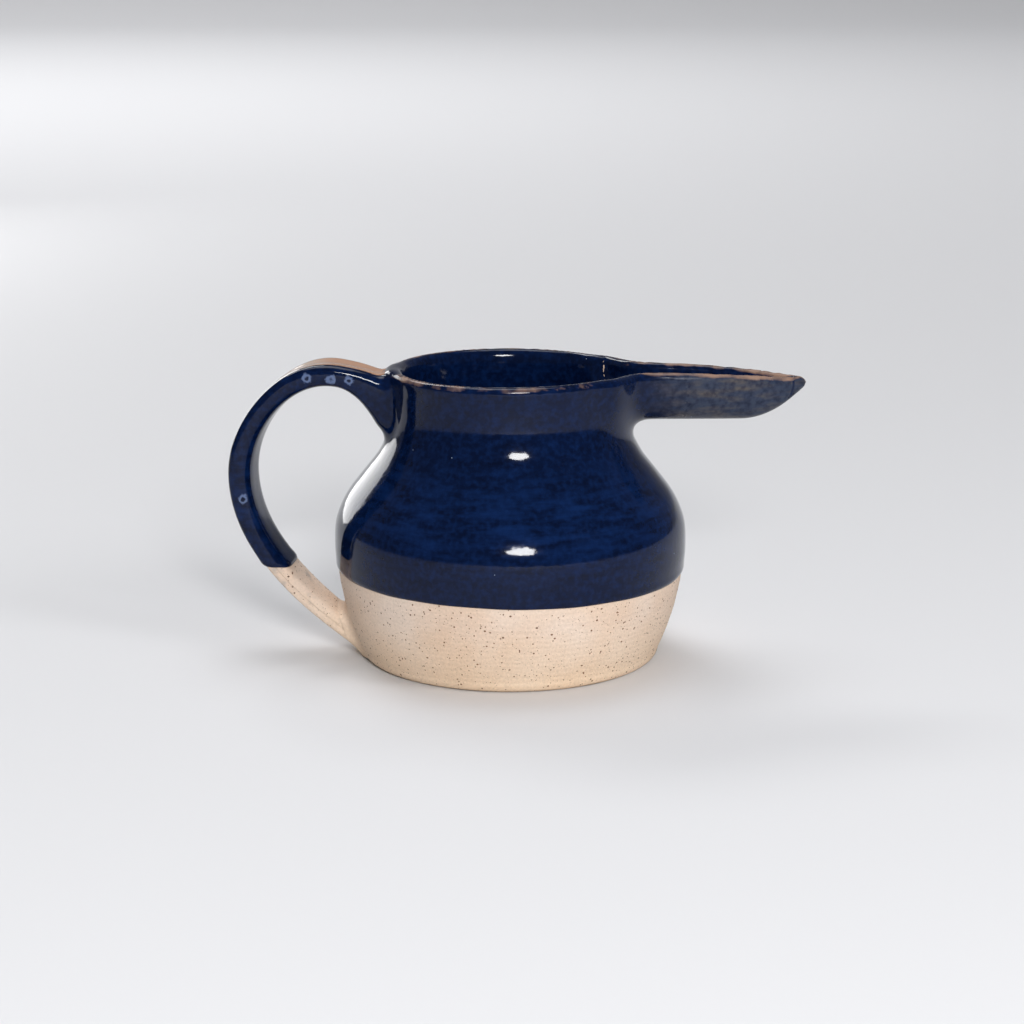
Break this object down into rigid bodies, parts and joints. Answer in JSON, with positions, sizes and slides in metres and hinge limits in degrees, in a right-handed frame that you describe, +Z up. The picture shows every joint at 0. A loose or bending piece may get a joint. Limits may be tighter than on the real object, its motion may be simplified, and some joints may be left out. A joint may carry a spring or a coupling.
{
  "type": "ceramic pitcher",
  "caption": "Small hand-thrown stoneware pitcher with a long open pouring spout, a strap handle and a dipped cobalt glaze over a bare clay foot.",
  "frame": {"origin": "centre of the foot's flat resting face, on the vessel's axis", "axes": "+Z up along the vessel's axis, +X along the spout, -X towards the handle"},
  "size_m": [0.1789, 0.1102, 0.0929],
  "materials": {
    "bare_clay": "matt unglazed stoneware, warm buff with fine iron specks",
    "cobalt_glaze": "deep cobalt blue glaze, glossy, breaking to tan where it runs thin over edges"
  },
  "bodies": {
    "root": {"thrown_vessel": "bare_clay", "spout_trough": "bare_clay", "strap_handle": "bare_clay", "spout_lute": "bare_clay", "handle_top_lute": "bare_clay", "handle_foot_lute": "bare_clay", "glaze_outside": "cobalt_glaze", "glaze_liner": "cobalt_glaze", "glaze_spout": "cobalt_glaze", "glaze_handle": "cobalt_glaze"}
  },
  "joints": []
}
